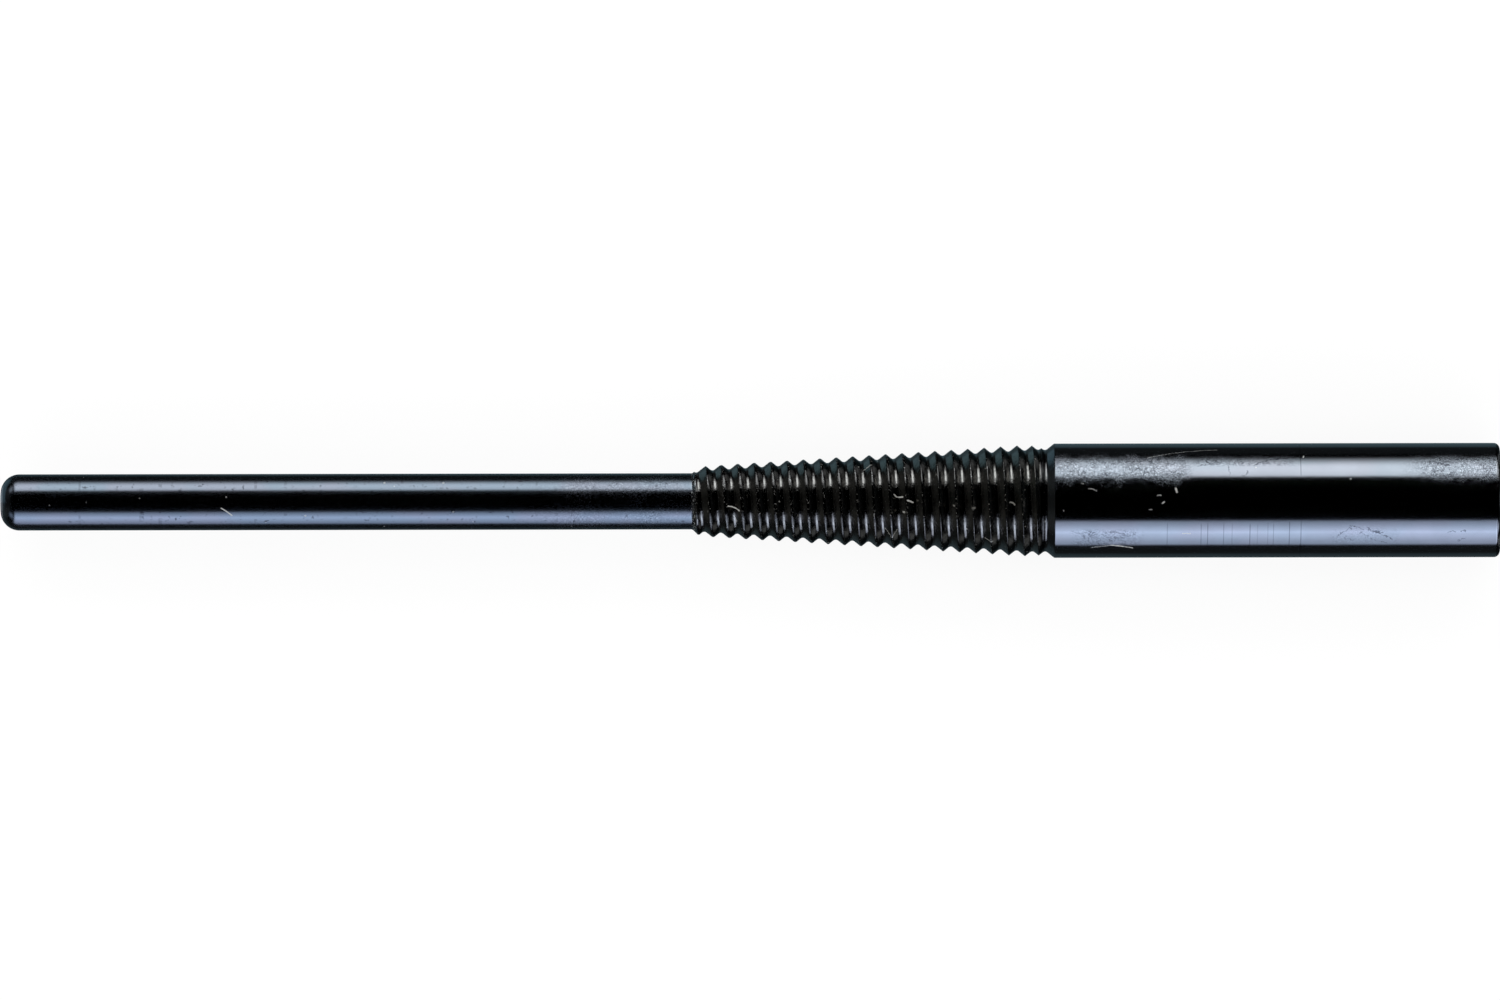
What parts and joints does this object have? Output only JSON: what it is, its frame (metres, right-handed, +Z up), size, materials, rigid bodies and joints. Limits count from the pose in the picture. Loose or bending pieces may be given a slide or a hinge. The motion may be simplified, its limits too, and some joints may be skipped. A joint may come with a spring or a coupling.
{
  "type": "threaded centering punch",
  "caption": "Blued steel centering punch turned from one bar: long smooth pilot with blunt round nose, coarse right-hand taper thread, run-out groove and plain round body.",
  "frame": {"origin": "centre of the flat on the nose, on the bar's axis", "axes": "+X along the bar from the nose to the struck end, +Z up with the bar lying level"},
  "size_m": [0.16, 0.0122, 0.0122],
  "materials": {
    "blued_steel": "black-oxide (blued) hardened steel, oiled, satin to glossy, with light wear on the thread crests and edges"
  },
  "bodies": {
    "root": {"punch_bar": "blued_steel"}
  },
  "joints": []
}
